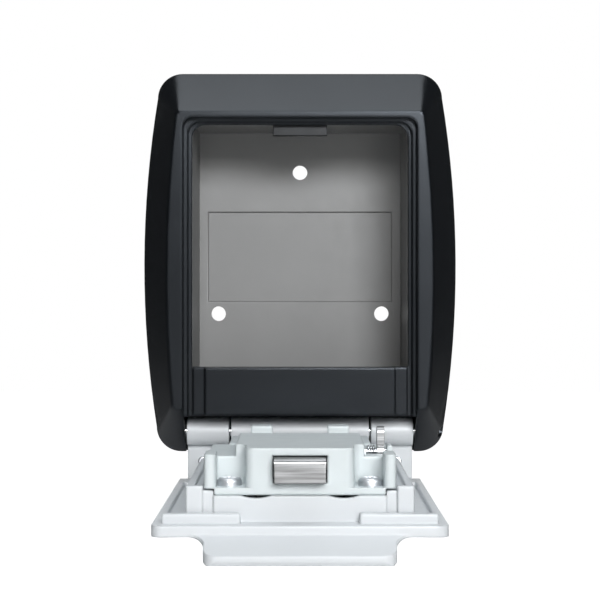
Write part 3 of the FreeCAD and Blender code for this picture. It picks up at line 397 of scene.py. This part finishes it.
BLUISH = (0.93, 0.97, 1.0)
STRIP_BLUE = (0.9, 0.95, 1.0)
FLOOR_HEIGHT = -0.32
FLOOR_SIZE = 8
FLOOR_COLOUR = (0.9, 0.9, 0.9, 1)
FLOOR_ROUGHNESS = 0.9
# the floor glows by NEAR_GLOW up to NEAR metres from the safe, rising to white at FAR
NEAR = 0.45
FAR = 1.05
NEAR_GLOW = 0.4
# reflected rays see the backdrop fade in between these shares of Y in their direction
BACKDROP_EDGE = (0.90, 0.95)
DIM_COLOUR = (0.9, 0.95, 1.0, 1)
DIM_STRENGTH = 0.06


def lamp(name, place, target, size, watts, colour=(1, 1, 1), gloss_only=False):
    """A rectangular lamp turned to the target. A gloss-only lamp shows in reflections and lights nothing."""
    data = bpy.data.lights.new(name, "AREA")
    data.shape = "RECTANGLE"
    data.size, data.size_y = size
    data.energy = watts
    data.color = colour
    made = bpy.data.objects.new(name, data)
    made.location = place
    aim = Vector(target) - Vector(place)
    made.rotation_euler = aim.to_track_quat("-Z", "Y").to_euler()
    made.visible_diffuse = not gloss_only
    bpy.context.scene.collection.objects.link(made)


def lights():
    middle = (0, -0.05, 0)
    lamp("front_key", (0.25, -1.5, 0.52), (0, 0, 0), (0.8, 0.4), 19.5)
    lamp("front_strip", (0.4, -1.45, 0.56), (0, 0, 0.04), (0.5, 0.25), 26.0, STRIP_BLUE, gloss_only=True)
    lamp("top_softbox", (0.0, -0.12, 0.95), middle, (0.7, 0.8), 5.6, BLUISH)
    lamp("right_card", (0.36, -1.4, 0.04), middle, (0.22, 0.6), 1.4)
    lamp("low_fill", (0.0, -1.3, -0.2), middle, (0.8, 0.3), 0.6)
    lamp("back_fill", (0.0, 1.2, 0.5), middle, (1.2, 0.8), 3.0)


def math_node(nodes, links, operation, *inputs):
    """A maths node fed by sockets or by numbers."""
    node = nodes.new("ShaderNodeMath")
    node.operation = operation
    for place, source in enumerate(inputs):
        if isinstance(source, (int, float)):
            node.inputs[place].default_value = source
        else:
            links.new(source, node.inputs[place])
    return node.outputs[0]


def ranged(nodes, links, source, start, end, low, high):
    """The source, brought from start..end to low..high."""
    node = nodes.new("ShaderNodeMapRange")
    for name, value in {"From Min": start, "From Max": end, "To Min": low, "To Max": high}.items():
        node.inputs[name].default_value = value
    links.new(source, node.inputs["Value"])
    return node.outputs["Result"]


def seen_rays(nodes, links, glossy):
    """1 for the camera's rays and those through glass, and the glossy value for reflected ones."""
    rays = nodes.new("ShaderNodeLightPath").outputs
    direct = math_node(nodes, links, "MAXIMUM", rays["Is Camera Ray"], rays["Is Transmission Ray"])
    mirrored = math_node(nodes, links, "MULTIPLY", rays["Is Glossy Ray"], glossy)
    return math_node(nodes, links, "MAXIMUM", direct, mirrored)


def behind_the_safe(nodes, links, direction):
    """1 in the directions that a white backdrop behind the safe would fill, 0 round it."""
    split = nodes.new("ShaderNodeSeparateXYZ")
    links.new(direction, split.inputs["Vector"])
    return ranged(nodes, links, split.outputs["Y"], *BACKDROP_EDGE, 0.0, 1.0)


def floor_material():
    """A pale floor. It glows white far off, and less near the safe, where it shows the shadows."""
    material = bpy.data.materials.new("pale_floor")
    material.use_nodes = True
    nodes, links = material.node_tree.nodes, material.node_tree.links
    shader = nodes["Principled BSDF"]
    shader.inputs["Base Color"].default_value = FLOOR_COLOUR
    shader.inputs["Roughness"].default_value = FLOOR_ROUGHNESS
    away = nodes.new("ShaderNodeVectorMath")
    away.operation = "LENGTH"
    position = nodes.new("ShaderNodeNewGeometry").outputs["Position"]
    links.new(position, away.inputs[0])
    outward = nodes.new("ShaderNodeVectorMath")
    outward.operation = "NORMALIZE"
    links.new(position, outward.inputs[0])
    behind = behind_the_safe(nodes, links, outward.outputs["Vector"])
    strength = ranged(nodes, links, away.outputs["Value"], NEAR, FAR, NEAR_GLOW, 1.0)
    glow = nodes.new("ShaderNodeEmission")
    seen = seen_rays(nodes, links, behind)
    links.new(math_node(nodes, links, "MULTIPLY", strength, seen), glow.inputs["Strength"])
    both = nodes.new("ShaderNodeAddShader")
    links.new(shader.outputs["BSDF"], both.inputs[0])
    links.new(glow.outputs["Emission"], both.inputs[1])
    links.new(both.outputs["Shader"], nodes["Material Output"].inputs["Surface"])
    return material


def backdrop():
    """A pale floor well below the wall-mounted safe, and a white world round it."""
    bpy.ops.mesh.primitive_plane_add(size=FLOOR_SIZE, location=(0, 0, FLOOR_HEIGHT))
    floor = bpy.context.object
    floor.name = "floor"
    floor.data.materials.append(floor_material())
    world = bpy.data.worlds.new("studio")
    bpy.context.scene.world = world
    world.use_nodes = True
    nodes, links = world.node_tree.nodes, world.node_tree.links
    behind = behind_the_safe(nodes, links, nodes.new("ShaderNodeTexCoord").outputs["Generated"])
    dim = nodes["Background"]
    dim.inputs["Color"].default_value = DIM_COLOUR
    dim.inputs["Strength"].default_value = DIM_STRENGTH
    bright = nodes.new("ShaderNodeBackground")
    bright.inputs["Color"].default_value = (1, 1, 1, 1)
    mix = nodes.new("ShaderNodeMixShader")
    links.new(seen_rays(nodes, links, behind), mix.inputs["Fac"])
    links.new(dim.outputs["Background"], mix.inputs[1])
    links.new(bright.outputs["Background"], mix.inputs[2])
    links.new(mix.outputs["Shader"], nodes["World Output"].inputs["Surface"])


shot()
MATERIALS = make_materials()
dress(MATERIALS)
for dial in range(1, DIALS + 1):
    dial_digits(dial, MATERIALS["digit_paint"])
lights()
backdrop()
bpy.context.scene.view_settings.view_transform = "Standard"
